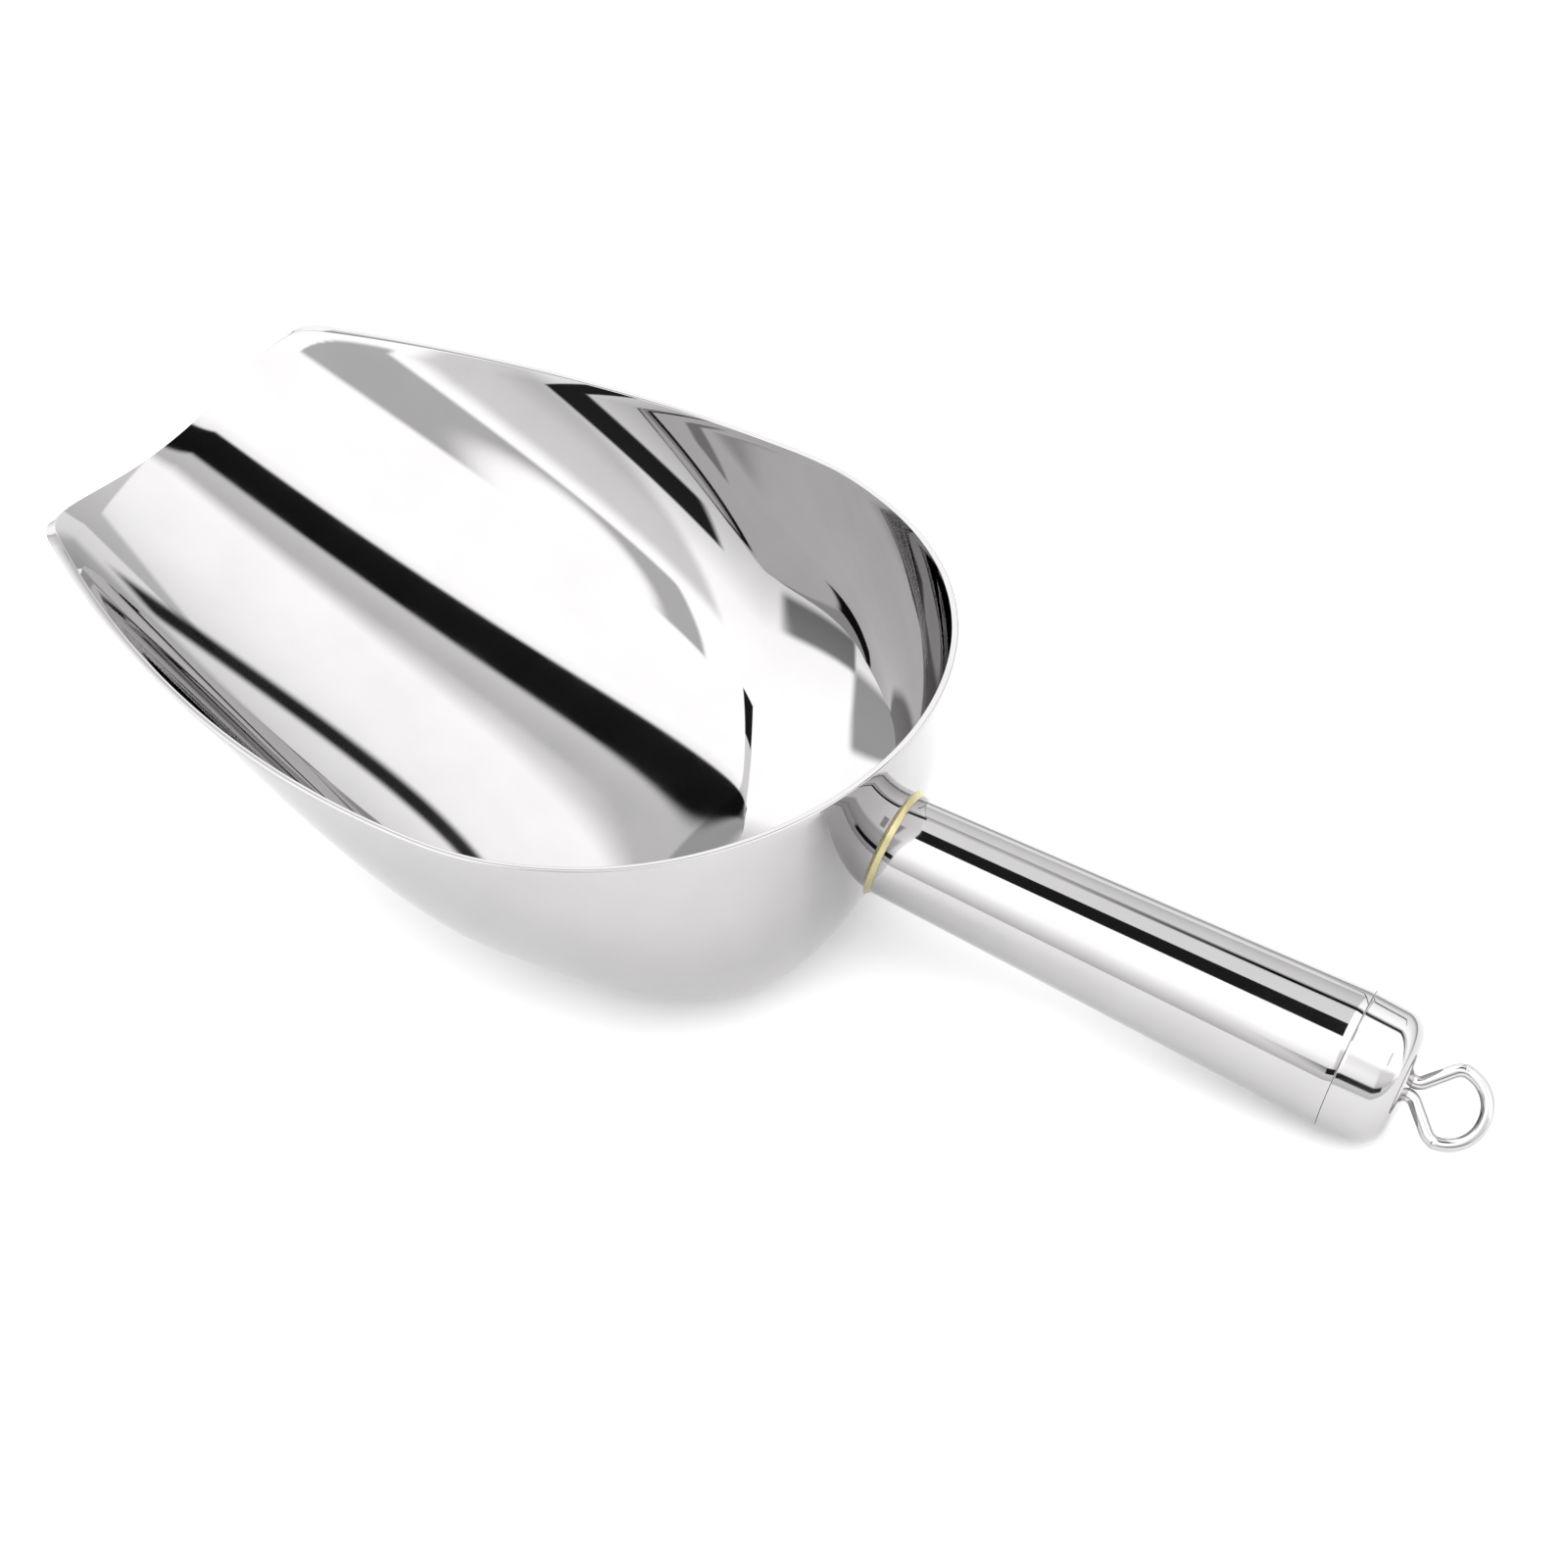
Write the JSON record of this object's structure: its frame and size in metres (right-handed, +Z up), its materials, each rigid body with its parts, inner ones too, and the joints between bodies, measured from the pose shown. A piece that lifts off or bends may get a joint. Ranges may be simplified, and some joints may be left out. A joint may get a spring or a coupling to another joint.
{
  "type": "ice scoop",
  "caption": "Open sheet-metal scoop with a raised pouring lip, a hollow tapered handle brazed to the back wall, a domed end cap and a swivelling wire hanging loop.",
  "frame": {"origin": "on the table, under the middle of the scoop's overall length and width, with the scoop resting on its bowl and its handle's end", "axes": "+X from the bowl's lip towards the handle's end, +Y across the bowl, +Z up from the table"},
  "size_m": [0.256, 0.1256, 0.0639],
  "materials": {
    "bowl_steel": "polished stainless steel sheet",
    "handle_steel": "polished stainless steel tube",
    "braze": "pale brazing metal, smoothed",
    "cap_steel": "polished stainless steel pressing",
    "wire_steel": "bright drawn wire"
  },
  "bodies": {
    "scoop": {"scoop_bowl": "bowl_steel", "handle_tube": "handle_steel", "braze_ring": "braze", "end_cap": "cap_steel"},
    "loop": {"hang_loop": "wire_steel"}
  },
  "joints": [
    {"name": "loop_swivel", "type": "hinge", "parent": "scoop", "child": "loop", "pos_m": [0.10703, 0, 0.01206], "axis": [0.9903, 0, -0.1392], "continuous": true}
  ]
}
